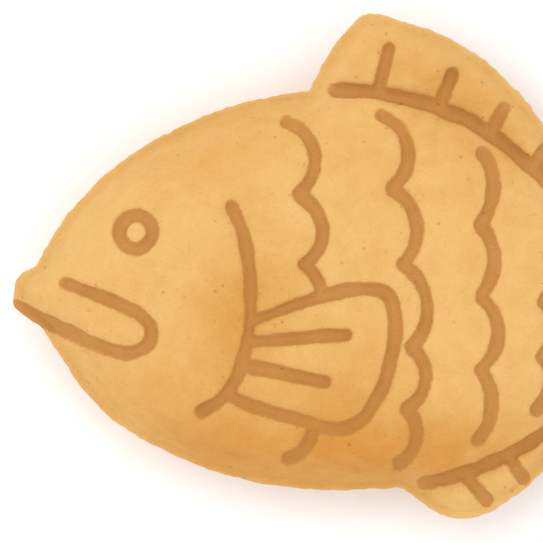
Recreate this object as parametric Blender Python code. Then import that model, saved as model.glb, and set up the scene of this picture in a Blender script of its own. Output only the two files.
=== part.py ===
"""A taiyaki, the fish-shaped griddle cake, as one solid that lies on its side.

The cake is baked in two hinged plates that mirror each other, so one half is modelled as a
relief that rises from the parting plane, and the other half is its mirror image.

The fish frame has its origin at the snout, +X to the tail, +Y to the back and +Z to the viewer.
Sizes are in millimetres and the finished mesh is in metres.
"""

import math

import bpy
import bmesh
import numpy as np
from mathutils import Vector
from mathutils.geometry import delaunay_2d_cdt, interpolate_bezier

MM = 0.001

# Body seen from the side
BODY_MIDDLE = 55.65
HEAD_LENGTH = 51.3
BACK_DEPTH = 35.2
BELLY_DEPTH = 34.8
BACK_POWER = 1.79
BELLY_POWER = 1.91
STALK_X = 115.5
STALK_TOP = 6.7
STALK_BOTTOM = -16.4
STALK_ROUNDNESS = 0.12

# Back and belly between the deepest place and the tail's stalk, as curve handles
BACK_HANDLES = ((92.5, BACK_DEPTH), (92.7, 8.6))
BELLY_HANDLES = ((96.8, -BELLY_DEPTH), (95.8, -12.6))
BELLY_START = 58.3

# Lips, whose corner is the front end of the mouth's groove, then the brow and the jaw
LIP_CORNER = (0.0, -2.2)
UPPER_LIP = ((0.4, 4.2), (1.8, 3.1), (4.35, 4.35))
LOWER_LIP = ((0.2, -3.3), (2.9, -4.9), (5.0, -6.1))
BROW = ((5.8, 8.3), (9.3, 13.4), (13.0, 17.35))
JAW = ((12.6, -18.6), (15.4, -20.8), (17.25, -22.2))

# Fins: front root, two handles and the tip, then two handles and the rear root
DORSAL_FRONT = ((52.0, 34.8), (53.4, 38.1), (55.7, 43.0), (60.4, 47.6))
DORSAL_TIP = ((61.6, 48.7), (64.2, 49.2), (66.6, 47.75))
DORSAL_REAR = ((78.0, 44.3), (88.6, 41.4), (103.2, 10.9))
BELLY_FIN = ((67.1, -34.4), (73.3, -34.6), (77.3, -54.8), (105.0, -17.1))

# Tail: the upper lobe, mirrored about the tail's axis for the lower one
TAIL_AXIS = 0.5 * (STALK_TOP + STALK_BOTTOM)
TAIL_EDGE = ((120.5, 6.3), (121.5, 15.5), (128.5, 20.5))
TAIL_TIP = ((133.5, 24.2), (143.4, 24.6), (143.9, 15.0))
TAIL_REAR = ((144.1, 7.5), (141.0, 2.5), (138.5, TAIL_AXIS))

# Relief of one half, as heights above the parting plane
HALF_THICKNESS = 14.0
SHOULDER_WIDTH = 21.0
SHOULDER_POWER = 2.3
SHOULDER_ROOT = 0.62
CONTOUR_SHIFT = 1.6
FIN_HEIGHT = 4.8
TAIL_HEIGHT = 5.6
SEAM_HALF = 0.6
SEAM_WIDTH = 1.0
WALL_SLOPE = 2.2
BLEND = 1.6
TAPER_START = 82.0
TAPER_END = 120.0
TAPER_LEFT = 0.55

# Grooves
GROOVE_WIDTH = 2.6
GROOVE_DEPTH = 1.2
GROOVE_FADE = (1.2, 3.6)
EYE_CENTRE = (21.6, 10.3)
EYE_RADIUS = 2.9
MOUTH = ((9.45, 1.3), (17.15, -1.65), (22.7, -4.5), (24.4, -6.8), (23.7, -9.3), (21.3, -10.75),
         (18.2, -10.6), (11.55, -8.0), (4.5, -4.75), (0.5, -2.75))
GILL = ((38.15, 15.1), (40.1, 10.6), (41.3, 5.0), (41.75, -2.0), (41.2, -9.0), (39.5, -14.9), (37.1, -18.4),
        (33.1, -21.1))
BREAST_FIN = ((41.7, -5.2), (47.95, -3.1), (56.35, -0.3), (62.9, 0.35), (65.9, -0.9), (66.95, -4.2),
              (66.7, -9.0), (65.1, -16.0), (62.65, -20.55), (60.2, -23.0), (56.5, -24.05), (50.75, -22.65),
              (42.35, -20.2), (38.6, -17.4))
BREAST_RAYS = (((41.65, -8.85), (58.45, -7.8)), ((40.8, -13.2), (54.8, -15.85)))
BACK_LINE = (56.0, 100.5)
BELLY_LINE = (71.8, 99.0)

# Rows of scales: how round the scallops are, as bulge over span, then the row's ends and cusps
SCALE_ROWS = (
    (0.29, ((48.0, 29.85), (49.7, 16.9), (51.1, 4.6))),
    (0.09, ((51.1, 4.6), (54.1, -0.2))),
    (0.08, ((53.5, -23.6), (48.3, -29.5))),
    (0.27, ((64.6, 30.5), (66.15, 18.1), (68.25, 4.6), (69.8, -9.9), (68.95, -20.4), (67.9, -30.4))),
    (0.20, ((82.25, 23.9), (81.9, 11.8), (81.9, -1.15), (81.9, -13.75), (81.4, -26.2))),
    (0.19, ((95.0, 13.7), (94.0, 6.0), (92.9, -2.0), (92.75, -11.5), (91.7, -20.9))),
    (0.18, ((103.4, 6.8), (102.6, -0.6), (102.4, -8.4), (101.6, -15.0))),
)
TAIL_ARC = (0.14, ((111.6, 4.6), (111.6, -14.3)))

# Rays of the fins: where each starts along its line, then the first one's length and angle
BACK_RAYS = (64.0, 74.9, 83.3, 91.0)
BACK_RAY_LENGTH = 7.9
BACK_RAY_ANGLE = 76.0
BELLY_RAYS = (79.1, 86.8)
BELLY_RAY_LENGTH = 6.1
BELLY_RAY_ANGLE = -49.0
RAY_SHRINK = 0.8
RAY_LEAN = 7.0
TAIL_RAY_COUNT = 5
TAIL_RAY_FAN = 27.0
TAIL_RAY_ORIGIN = 101.0
TAIL_RAY_START = 18.0
TAIL_RAY_END = 36.0
TAIL_RAY_NOTCH = 3.0

# Mesh spacing
OUTLINE_STEP = 2.0
RING_STEP = 1.8
GROOVE_STEP = 2.3
SHORT_GROOVE = 20.0
SHORT_GROOVE_STEP = 1.7
GRID_STEP = 5.0
LEAST_GAP = 0.5
FOOT_GAP = 0.9
GRID_GAP = 2.3
SIDE_MARGIN = 0.2
INSETS = (SEAM_WIDTH, 2.3, 3.5, 4.9, 6.6, 9.4, 13.4)
WALL_RINGS = 4
END_TURNS = (-0.8, 0.0, 0.8)
GROOVE_LINES = (0.0, 1.0, -1.0, 0.55, -0.55)
FOOT_LINES = (1.9, -1.9, 3.2, -3.2)
RING_SLACK = 0.97
SAMPLE_STEP = 0.5
CURVE_STEPS = 60
HEAD_STEPS = 120
KNOT_STEPS = 16
ARC_STEPS = 24
LEAST_SIDE = 0.05
MERGE_GAP = 0.00005
SHARP_ANGLE = 50.0


def bezier(start, points, steps=CURVE_STEPS):
    """Points of one cubic curve from start through two handles to its end."""
    knots = [Vector((x, y, 0.0)) for x, y in (start, *points)]
    curve = interpolate_bezier(knots[0], knots[1], knots[2], knots[3], steps)
    return np.array([(p.x, p.y) for p in curve])


def lengths_along(path):
    """Distance from the first point to each point of a path."""
    steps = np.hypot(*np.diff(path, axis=0).T)
    return np.concatenate(([0.0], np.cumsum(steps)))


def even_steps(path, step):
    """The same path with evenly spaced points, both ends kept."""
    along = lengths_along(path)
    count = max(2, round(along[-1] / step) + 1)
    places = np.linspace(0.0, along[-1], count)
    return np.column_stack([np.interp(places, along, path[:, k]) for k in (0, 1)])


def smooth_path(knots):
    """A curve through the knots, with each knot's direction taken from its neighbours."""
    knots = np.array(knots, dtype=float)
    ends = np.vstack([2.0 * knots[0] - knots[1], knots, 2.0 * knots[-1] - knots[-2]])
    pieces = []
    for before, start, end, after in zip(ends, ends[1:], ends[2:], ends[3:]):
        lead = start + (end - before) / 6.0
        follow = end - (after - start) / 6.0
        pieces.append(bezier(start, (lead, follow, end), KNOT_STEPS)[:-1])
    return np.vstack(pieces + [knots[-1:]])


def scallop(start, end, roundness):
    """A circular arc from one cusp down to the next that bulges to the tail."""
    start, end = np.array(start), np.array(end)
    half = 0.5 * np.hypot(*(end - start))
    bulge = 2.0 * half * roundness
    radius = (half * half + bulge * bulge) / (2.0 * bulge)
    middle = 0.5 * (start + end)
    along = (end - start) / (2.0 * half)
    out = np.array((-along[1], along[0]))
    centre = middle + out * (bulge - radius)
    sweep = math.atan2(half, radius - bulge)
    turns = np.linspace(-sweep, sweep, ARC_STEPS)
    return centre + radius * (np.outer(np.cos(turns), out) + np.outer(np.sin(turns), along))


def head_curve(side):
    """Half of the head's rounded end from the snout to the body's deepest place."""
    turns = np.linspace(0.0, 0.5 * math.pi, HEAD_STEPS)
    depth, power = (BACK_DEPTH, BACK_POWER) if side > 0 else (BELLY_DEPTH, BELLY_POWER)
    x = BODY_MIDDLE - HEAD_LENGTH * np.cos(turns) ** (2.0 / power)
    y = side * depth * np.sin(turns) ** (2.0 / power)
    return np.column_stack([x, y])


def body_side(side):
    """The whole back (side 1) or belly (side -1) from the snout to the tail's stalk."""
    if side > 0:
        rear = bezier((BODY_MIDDLE, BACK_DEPTH), (*BACK_HANDLES, (STALK_X, STALK_TOP)))
    else:
        rear = bezier((BELLY_START, -BELLY_DEPTH), (*BELLY_HANDLES, (STALK_X, STALK_BOTTOM)))
    return np.vstack([head_curve(side)[:-1], rear])


def stretch(path, first_x, last_x):
    """The part of a path between two places along the fish."""
    inside = path[(path[:, 0] > first_x) & (path[:, 0] < last_x)]
    ends = [[x, np.interp(x, path[:, 0], path[:, 1])] for x in (first_x, last_x)]
    return np.vstack([ends[0], inside, ends[1]])


def body_loop():
    """Closed contour of the body alone, ended by a round front of the tail."""
    end = scallop((STALK_X, STALK_TOP), (STALK_X, STALK_BOTTOM), STALK_ROUNDNESS)
    return np.vstack([body_side(1), end[1:-1], body_side(-1)[::-1][:-1]])


def tail_edge():
    """Tail contour from the top of the stalk round both lobes to the bottom of the stalk."""
    edge = bezier((STALK_X, STALK_TOP), TAIL_EDGE)
    tip = bezier(TAIL_EDGE[-1], TAIL_TIP)
    rear = bezier(TAIL_TIP[-1], TAIL_REAR)
    upper = np.vstack([edge, tip[1:], rear[1:]])
    lower = upper[::-1] * (1.0, -1.0) + (0.0, 2.0 * TAIL_AXIS)
    return np.vstack([upper, lower[1:]])


def fish_outline():
    """Closed contour of the whole cake, from the mouth's corner over the back and round."""
    back, belly = body_side(1), body_side(-1)
    dorsal = np.vstack([
        bezier(DORSAL_FRONT[0], DORSAL_FRONT[1:]),
        bezier(DORSAL_FRONT[-1], DORSAL_TIP)[1:],
        bezier(DORSAL_TIP[-1], DORSAL_REAR)[1:],
    ])
    pieces = [
        bezier(LIP_CORNER, UPPER_LIP),
        bezier(UPPER_LIP[-1], BROW)[1:],
        stretch(back, BROW[-1][0], DORSAL_FRONT[0][0])[1:-1],
        dorsal,
        stretch(back, DORSAL_REAR[-1][0], STALK_X)[1:-1],
        tail_edge(),
        stretch(belly, BELLY_FIN[-1][0], STALK_X)[::-1][1:-1],
        bezier(BELLY_FIN[0], BELLY_FIN[1:])[::-1],
        stretch(belly, JAW[-1][0], BELLY_FIN[0][0])[::-1][1:-1],
        bezier(LOWER_LIP[-1], JAW)[::-1],
        bezier(LIP_CORNER, LOWER_LIP)[::-1][1:],
    ]
    return np.vstack(pieces)


def ray_paths(line, places, length, angle, lean):
    """Straight rays that start on a fin's line, each shorter and more slanted than the last."""
    rays = []
    for x in places:
        root = np.array((x, np.interp(x, line[:, 0], line[:, 1])))
        turn = math.radians(angle)
        rays.append(np.array([root, root + length * np.array((math.cos(turn), math.sin(turn)))]))
        length *= RAY_SHRINK
        angle += lean
    return rays


def tail_rays():
    """Straight rays that fan out over the tail, the middle one shortened by the notch."""
    origin = np.array((TAIL_RAY_ORIGIN, TAIL_AXIS))
    turns = np.radians(np.linspace(-TAIL_RAY_FAN, TAIL_RAY_FAN, TAIL_RAY_COUNT))
    rays = []
    for number, turn in enumerate(turns):
        way = np.array((math.cos(turn), math.sin(turn)))
        is_middle = number == TAIL_RAY_COUNT // 2
        reach = TAIL_RAY_END - (TAIL_RAY_NOTCH if is_middle else 0.0)
        rays.append(np.array([origin + TAIL_RAY_START * way, origin + reach * way]))
    return rays


def scale_row(roundness, cusps):
    """One row of scales as scallops between its cusps, listed from the back down."""
    arcs = [scallop(start, end, roundness) for start, end in zip(cusps, cusps[1:])]
    return np.vstack([arcs[0]] + [arc[1:] for arc in arcs[1:]])


def groove_paths():
    """Centre lines of all grooves on one side of the cake."""
    turns = np.linspace(0.0, 2.0 * math.pi, CURVE_STEPS)
    eye = np.array(EYE_CENTRE) + EYE_RADIUS * np.column_stack([np.cos(turns), np.sin(turns)])
    back_line = stretch(body_side(1), *BACK_LINE)
    belly_line = stretch(body_side(-1), *BELLY_LINE)
    paths = [eye, smooth_path(MOUTH), smooth_path(GILL), smooth_path(BREAST_FIN), back_line, belly_line]
    paths += [np.array(ray) for ray in BREAST_RAYS]
    paths += [scale_row(roundness, cusps) for roundness, cusps in SCALE_ROWS + (TAIL_ARC,)]
    paths += ray_paths(back_line, BACK_RAYS, BACK_RAY_LENGTH, BACK_RAY_ANGLE, -RAY_LEAN)
    paths += ray_paths(belly_line, BELLY_RAYS, BELLY_RAY_LENGTH, BELLY_RAY_ANGLE, -RAY_LEAN)
    return paths + tail_rays()


def segments_of(paths):
    """Starts and ends of all the straight pieces of several paths."""
    starts = np.vstack([path[:-1] for path in paths])
    ends = np.vstack([path[1:] for path in paths])
    return starts, ends


def nearest(points, starts, ends):
    """Distance from each point to the nearest of the segments."""
    along = ends - starts
    offset = points[:, None, :] - starts[None, :, :]
    share = np.einsum("ijk,jk->ij", offset, along) / np.einsum("jk,jk->j", along, along)
    foot = offset - np.clip(share, 0.0, 1.0)[:, :, None] * along[None, :, :]
    return np.sqrt(np.einsum("ijk,ijk->ij", foot, foot).min(axis=1))


def soft_distance(points, loop):
    """Distance to a closed loop that rounds over the ridges which the true distance has.

    Each straight piece adds its integral of one over the distance to the fourth power, and the
    cube root of the sum gives the true distance beside a long straight edge.
    """
    starts, ends = loop, np.roll(loop, -1, axis=0)
    along = ends - starts
    size = np.hypot(along[:, 0], along[:, 1])
    along = along / size[:, None]
    offset = points[:, None, :] - starts[None, :, :]
    near = -np.einsum("ijk,jk->ij", offset, along)
    far = near + size
    side = np.abs(offset[:, :, 0] * along[:, 1] - offset[:, :, 1] * along[:, 0])
    side = np.maximum(side, LEAST_SIDE)

    def pull(reach):
        """Integral of the fourth-power law from the foot of the point to reach."""
        return reach / (2.0 * side**2 * (side**2 + reach**2)) + np.arctan(reach / side) / (2.0 * side**3)

    total = (pull(far) - pull(near)).sum(axis=1)
    return (0.5 * math.pi / total) ** (1.0 / 3.0)


def is_inside(points, loop):
    """Whether each point lies within a closed loop, by counting crossings."""
    x, y = points[:, 0, None], points[:, 1, None]
    x0, y0 = loop[:, 0], loop[:, 1]
    x1, y1 = np.roll(x0, -1), np.roll(y0, -1)
    rise = np.where(y1 == y0, 1.0, y1 - y0)
    crosses = ((y0 > y) != (y1 > y)) & (x < x0 + (y - y0) * (x1 - x0) / rise)
    return crosses.sum(axis=1) % 2 == 1


def soft_max(first, second, blend):
    """The larger of two heights, rounded where they meet."""
    overlap = np.maximum(blend - np.abs(first - second), 0.0)
    return np.maximum(first, second) + overlap**2 / (4.0 * blend)


def soft_min(first, second, blend):
    """The smaller of two heights, rounded where they meet."""
    return -soft_max(-first, -second, blend)


def ease(value, first, last):
    """A smooth rise from 0 to 1 between two places."""
    share = np.clip((value - first) / (last - first), 0.0, 1.0)
    return share * share * (3.0 - 2.0 * share)


def relief_heights(points, outline, body, grooves):
    """Height of one half of the cake above the parting plane at each point."""
    x = points[:, 0]
    from_edge = soft_distance(points, outline)
    from_body = soft_distance(points, body) * np.where(is_inside(points, body), 1.0, -1.0)
    rise = np.clip((from_body + CONTOUR_SHIFT) / SHOULDER_WIDTH, 0.0, 1.0)
    dome = HALF_THICKNESS * (1.0 - (1.0 - rise) ** SHOULDER_POWER) ** SHOULDER_ROOT
    dome = dome * (1.0 - (1.0 - TAPER_LEFT) * ease(x, TAPER_START, TAPER_END))
    plate = FIN_HEIGHT + (TAIL_HEIGHT - FIN_HEIGHT) * ease(x, BACK_LINE[1], TAPER_END)
    wall = SEAM_HALF + WALL_SLOPE * np.maximum(from_edge - SEAM_WIDTH, 0.0)
    height = soft_min(soft_max(dome, plate, BLEND), wall, BLEND)
    share = nearest(points, *segments_of(grooves)) / (0.5 * GROOVE_WIDTH)
    cut = GROOVE_DEPTH * np.maximum(1.0 - share**2, 0.0) * ease(from_edge, *GROOVE_FADE)
    return np.maximum(height - cut, SEAM_HALF)


def closed(loop):
    """The same loop with its first point repeated at its end."""
    return np.vstack([loop, loop[:1]])


def thin_out(groups, fixed, gap):
    """Keep all the fixed points, then each further point that has none within the gap."""
    kept = []
    cells = {}

    def keep(point):
        """Store one point with the square cell that it falls in."""
        kept.append(point)
        cells.setdefault((int(point[0] // gap), int(point[1] // gap)), []).append(point)

    def has_room(point):
        """Whether no kept point in the nine cells round a point is within the gap."""
        column, row = int(point[0] // gap), int(point[1] // gap)
        around = [(column + i, row + j) for i in (-1, 0, 1) for j in (-1, 0, 1)]
        near = [other for cell in around for other in cells.get(cell, ())]
        return all(math.dist(point, other) >= gap for other in near)

    for point in fixed:
        keep(point)
    for group in groups:
        for point in group:
            if has_room(point):
                keep(point)
    return np.array(kept)


def inset_ring(outline, inset):
    """Points at one distance inside the outline, without those that another edge is nearer to."""
    ring = even_steps(closed(outline), SAMPLE_STEP)[:-1]
    way = np.roll(ring, -1, axis=0) - np.roll(ring, 1, axis=0)
    way /= np.hypot(way[:, 0], way[:, 1])[:, None]
    ring = ring + inset * np.column_stack([way[:, 1], -way[:, 0]])
    ring = ring[nearest(ring, *segments_of([closed(outline)])) > RING_SLACK * inset]
    return thin_out([ring], ring[:1], max(RING_STEP, 0.45 * inset))


def lines_beside(path, step, shares):
    """Lines of points that run beside a path, each at a share of half a groove's width."""
    spine = even_steps(path, step)
    way = np.gradient(spine, axis=0)
    way /= np.hypot(way[:, 0], way[:, 1])[:, None]
    across = 0.5 * GROOVE_WIDTH * np.column_stack([-way[:, 1], way[:, 0]])
    return [spine + share * across for share in shares]


def round_ends(path):
    """A few points round both ends of a groove."""
    points = []
    for end, before in ((path[0], path[1]), (path[-1], path[-2])):
        facing = math.atan2(end[1] - before[1], end[0] - before[0])
        for turn in END_TURNS:
            way = np.array((math.cos(facing + turn), math.sin(facing + turn)))
            points.append(end + 0.5 * GROOVE_WIDTH * way)
    return np.array(points)


def outside_grooves(points, paths, margin):
    """The points that lie further than a margin outside the grooves along some paths."""
    if not paths:
        return points
    return points[nearest(points, *segments_of(paths)) > 0.5 * GROOVE_WIDTH + margin]


def groove_points(grooves):
    """Points across all grooves, deepest lines first, with no side line inside an earlier groove."""
    deepest, sides, ends = [], [], []
    for number, path in enumerate(grooves):
        step = SHORT_GROOVE_STEP if lengths_along(path)[-1] < SHORT_GROOVE else GROOVE_STEP
        lines = lines_beside(path, step, GROOVE_LINES)
        earlier = grooves[:number]
        deepest.append(lines[0])
        sides += [outside_grooves(line, earlier, SIDE_MARGIN) for line in lines[1:]]
        ends.append(outside_grooves(round_ends(path), earlier, SIDE_MARGIN))
    return deepest + sides + ends


def plan_points(outline, grooves):
    """All the points of the half's mesh in plan, the outline's own points first."""
    border = segments_of([closed(outline)])

    def off_lip(points):
        """The points that lie inside the outline and off its seam lip."""
        points = points[is_inside(points, outline)]
        return points[nearest(points, *border) > SEAM_WIDTH + LEAST_GAP]

    def smooth_part(points):
        """The points off the lip that also lie outside all grooves."""
        return outside_grooves(off_lip(points), grooves, LEAST_GAP)

    rings = [inset_ring(outline, inset) for inset in INSETS]
    feet = lines_beside(stretch(body_side(1), *BACK_LINE), GROOVE_STEP, FOOT_LINES)
    feet += lines_beside(stretch(body_side(-1), *BELLY_LINE), GROOVE_STEP, FOOT_LINES)
    low, high = outline.min(axis=0), outline.max(axis=0)
    columns = np.arange(low[0], high[0], GRID_STEP)
    rows = np.arange(low[1], high[1], GRID_STEP * math.sqrt(0.75))
    grid = np.array([(x + 0.5 * GRID_STEP * (k % 2), y) for k, y in enumerate(rows) for x in columns])

    points = thin_out([rings[0]] + [off_lip(line) for line in groove_points(grooves)], outline, LEAST_GAP)
    points = thin_out([smooth_part(ring) for ring in rings[1:WALL_RINGS]], points, LEAST_GAP)
    points = thin_out([smooth_part(line) for line in feet], points, FOOT_GAP)
    return thin_out([smooth_part(group) for group in rings[WALL_RINGS:] + [grid]], points, GRID_GAP)


def half_mesh(name):
    """Mesh of the upper half of the cake, open at the parting plane and centred in plan."""
    outline = even_steps(closed(fish_outline()), OUTLINE_STEP)[:-1]
    body = even_steps(body_loop(), OUTLINE_STEP)
    grooves = [even_steps(path, SAMPLE_STEP) for path in groove_paths()]
    points = plan_points(outline, grooves)
    heights = relief_heights(points, outline, body, grooves)
    heights[:len(outline)] = SEAM_HALF
    border = [(k, (k + 1) % len(outline)) for k in range(len(outline))]
    faces = delaunay_2d_cdt([Vector(point) for point in points], border, [], 1, 1e-6)[2]

    centre = 0.5 * (outline.min(axis=0) + outline.max(axis=0))
    shape = bmesh.new()
    for (x, y), z in zip(points, heights):
        shape.verts.new(((x - centre[0]) * MM, (y - centre[1]) * MM, z * MM))
    shape.verts.ensure_lookup_table()
    for face in faces:
        shape.faces.new([shape.verts[k] for k in face])
    shape.normal_update()
    bmesh.ops.reverse_faces(shape, faces=[face for face in shape.faces if face.normal.z < 0.0])
    rim = [edge for edge in shape.edges if edge.is_boundary]
    skirt = bmesh.ops.extrude_edge_only(shape, edges=rim)["geom"]
    for vertex in skirt:
        if isinstance(vertex, bmesh.types.BMVert):
            vertex.co.z = 0.0
    bmesh.ops.triangulate(shape, faces=shape.faces[:])
    mesh = bpy.data.meshes.new(name)
    shape.to_mesh(mesh)
    shape.free()
    return mesh


def crust_material():
    """Golden-brown baked batter with a dull skin."""
    material = bpy.data.materials.new("baked batter")
    material.use_nodes = True
    shader = material.node_tree.nodes["Principled BSDF"]
    shader.inputs["Base Color"].default_value = (0.87, 0.52, 0.18, 1.0)
    shader.inputs["Roughness"].default_value = 0.62
    shader.inputs["Metallic"].default_value = 0.0
    return material


def make_taiyaki():
    """The whole cake, its underside resting on the plane z = 0."""
    mesh = half_mesh("taiyaki")
    mesh.materials.append(crust_material())
    cake = bpy.data.objects.new("taiyaki", mesh)
    bpy.context.collection.objects.link(cake)
    mirror = cake.modifiers.new("lower half", "MIRROR")
    mirror.use_axis = (False, False, True)
    mirror.use_mirror_merge = True
    mirror.merge_threshold = MERGE_GAP
    cake.location = (0.0, 0.0, HALF_THICKNESS * MM)
    mesh.shade_smooth()
    mesh.set_sharp_from_angle(angle=math.radians(SHARP_ANGLE))
    return cake


def main():
    """Clear the scene's objects and model the cake."""
    for item in list(bpy.data.objects):
        bpy.data.objects.remove(item, do_unlink=True)
    make_taiyaki()


main()
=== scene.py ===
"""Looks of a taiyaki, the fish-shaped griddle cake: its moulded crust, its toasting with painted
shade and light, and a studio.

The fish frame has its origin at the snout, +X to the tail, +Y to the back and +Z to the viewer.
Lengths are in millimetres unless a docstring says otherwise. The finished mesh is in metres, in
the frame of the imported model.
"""

from __future__ import annotations

import logging
import math
from dataclasses import dataclass
from enum import Enum

import bpy
import numpy as np
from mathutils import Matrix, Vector, noise
from mathutils.geometry import interpolate_bezier

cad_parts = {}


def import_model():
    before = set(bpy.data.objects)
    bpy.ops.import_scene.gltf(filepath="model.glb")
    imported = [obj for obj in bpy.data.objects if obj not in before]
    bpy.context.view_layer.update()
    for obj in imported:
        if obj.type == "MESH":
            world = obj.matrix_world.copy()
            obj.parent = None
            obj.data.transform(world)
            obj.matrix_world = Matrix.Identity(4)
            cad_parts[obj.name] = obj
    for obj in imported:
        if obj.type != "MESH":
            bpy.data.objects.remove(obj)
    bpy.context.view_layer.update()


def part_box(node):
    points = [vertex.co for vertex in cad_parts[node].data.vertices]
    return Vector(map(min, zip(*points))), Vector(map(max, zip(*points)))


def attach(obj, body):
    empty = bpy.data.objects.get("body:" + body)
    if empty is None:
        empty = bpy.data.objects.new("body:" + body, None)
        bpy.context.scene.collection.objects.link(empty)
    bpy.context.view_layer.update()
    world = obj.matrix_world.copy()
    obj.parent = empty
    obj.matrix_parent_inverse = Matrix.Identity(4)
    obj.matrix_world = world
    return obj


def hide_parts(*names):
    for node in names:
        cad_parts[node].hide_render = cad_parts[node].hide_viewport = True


MM = 0.001
CAKE_NODE = "taiyaki"
CRUST_NAME = "taiyaki_crust"
CRUST_SLOT = "baked_crust"
CRUST_GROUP = "crust"
LINE_GROUP = "pressed lines"

# How many points a cubic curve, a round contour, an arc and a line between two knots get.
CURVE_POINTS = 60
CONTOUR_POINTS = 120
ARC_POINTS = 24
SPAN_POINTS = 16
# A smooth line's handles are the way between a knot's neighbours, divided by this.
HANDLE_DIVISOR = 6.0
# The least distance beside an edge, because the law of distance has no value on the edge.
LEAST_SIDE = 0.05
# A noise takes most of its values between these two.
NOISE_REACH = (0.3, 0.7)
# The radius that the smallest pit starts from, below 0 so that it fades in.
LEAST_PIT = -0.1

log = logging.getLogger("taiyaki")

Point = tuple[float, float]
Span = tuple[float, float]
Place = tuple[float, float, float]
Cubic = tuple[Point, Point, Point]
Colour = tuple[float, float, float]


class Flank(Enum):
    """The two long sides of the fish in plan."""

    BACK = 1
    BELLY = -1


class Mark(Enum):
    """Attributes of the crust's mesh that its finish reads."""

    GROOVE = "groove_distance"
    # Toasting, with painted shade and painted light in some patches.
    TOAST = "toast"


def cubic(start: Point, curve: Cubic, steps: int = CURVE_POINTS) -> np.ndarray:
    """Trace one cubic curve.

    Args:
        start: Where the curve starts.
        curve: Its two handles and its end.
        steps: How many points to return.

    Returns:
        The points in order, one row each.
    """
    knots = [Vector((x, y, 0.0)) for x, y in (start, *curve)]
    return np.array([(p.x, p.y) for p in interpolate_bezier(*knots, steps)])


def even_steps(path: np.ndarray, step: float) -> np.ndarray:
    """Space the points of a path evenly.

    Args:
        path: Points of the path.
        step: Distance wanted between two points.

    Returns:
        The same path with both ends kept.
    """
    along = np.concatenate(([0.0], np.cumsum(np.hypot(*np.diff(path, axis=0).T))))
    places = np.linspace(0.0, along[-1], max(2, round(along[-1] / step) + 1))
    return np.column_stack([np.interp(places, along, path[:, axis]) for axis in (0, 1)])


def flowing_line(knots: tuple[Point, ...]) -> np.ndarray:
    """Draw a smooth line through knots, each knot's direction taken from its neighbours.

    Args:
        knots: Places that the line passes through.

    Returns:
        Points of the line.
    """
    line = np.array(knots, dtype=float)
    line = np.vstack([2.0 * line[0] - line[1], line, 2.0 * line[-1] - line[-2]])
    pieces = []
    for before, start, end, after in zip(line, line[1:], line[2:], line[3:]):
        lead = start + (end - before) / HANDLE_DIVISOR
        follow = end - (after - start) / HANDLE_DIVISOR
        pieces.append(cubic(start, (lead, follow, end), SPAN_POINTS)[:-1])
    return np.vstack(pieces + [line[-2:-1]])


def heading(angle: float) -> np.ndarray:
    """Give the unit step at an angle in degrees, turned from the tail's side to the back's."""
    return np.array((math.cos(math.radians(angle)), math.sin(math.radians(angle))))


def scallop(start: Point, end: Point, roundness: float) -> np.ndarray:
    """Draw a circular arc that bulges to the tail.

    Args:
        start: The cusp nearer to the back.
        end: The cusp nearer to the belly.
        roundness: The arc's bulge as a share of its span.

    Returns:
        Points of the arc from start to end.
    """
    first, last = np.array(start), np.array(end)
    half = 0.5 * math.dist(first, last)
    bulge = 2.0 * half * roundness
    radius = (half * half + bulge * bulge) / (2.0 * bulge)
    along = (last - first) / (2.0 * half)
    out = np.array((-along[1], along[0]))
    centre = 0.5 * (first + last) + out * (bulge - radius)
    sweep = math.atan2(half, radius - bulge)
    turns = np.linspace(-sweep, sweep, ARC_POINTS)
    return centre + radius * (np.outer(np.cos(turns), out) + np.outer(np.sin(turns), along))


def stretch(path: np.ndarray, first_x: float, last_x: float) -> np.ndarray:
    """Cut a path down to the part between two places along the fish.

    Args:
        path: Points that run from snout to tail.
        first_x: Where the part starts.
        last_x: Where the part ends.

    Returns:
        Points of the part, with its ends exactly at the two places.
    """
    inside = path[(path[:, 0] > first_x) & (path[:, 0] < last_x)]
    ends = [[x, np.interp(x, path[:, 0], path[:, 1])] for x in (first_x, last_x)]
    return np.vstack([ends[0], inside, ends[1]])


def ease(value: np.ndarray, first: float, last: float) -> np.ndarray:
    """Rise smoothly from 0 to 1 between two places.

    Args:
        value: Where to read the rise.
        first: The place of 0.
        last: The place of 1.

    Returns:
        The rise at each value.
    """
    share = np.clip((value - first) / (last - first), 0.0, 1.0)
    return share * share * (3.0 - 2.0 * share)


def soft_max(first: np.ndarray, second: np.ndarray, blend: float) -> np.ndarray:
    """Take the larger of two heights, rounded where they meet.

    Args:
        first: One set of heights.
        second: The other set.
        blend: How far apart they may be and still blend.

    Returns:
        The blended heights.
    """
    overlap = np.maximum(blend - np.abs(first - second), 0.0)
    return np.maximum(first, second) + overlap**2 / (4.0 * blend)


def soft_min(first: np.ndarray, second: np.ndarray, blend: float) -> np.ndarray:
    """Take the smaller of two heights, rounded where they meet.

    Args:
        first: One set of heights.
        second: The other set.
        blend: How far apart they may be and still blend.

    Returns:
        The blended heights.
    """
    return -soft_max(-first, -second, blend)


def nearest(points: np.ndarray, paths: list[np.ndarray]) -> np.ndarray:
    """Measure how far points lie from the nearest of some paths.

    Args:
        points: Places to measure from.
        paths: The paths as rows of points.

    Returns:
        One distance for each point.
    """
    starts = np.vstack([path[:-1] for path in paths])
    along = np.vstack([path[1:] for path in paths]) - starts
    offset = points[:, None, :] - starts[None, :, :]
    share = np.einsum("ijk,jk->ij", offset, along) / np.einsum("jk,jk->j", along, along)
    foot = offset - np.clip(share, 0.0, 1.0)[:, :, None] * along[None, :, :]
    return np.sqrt(np.einsum("ijk,ijk->ij", foot, foot).min(axis=1))


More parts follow.
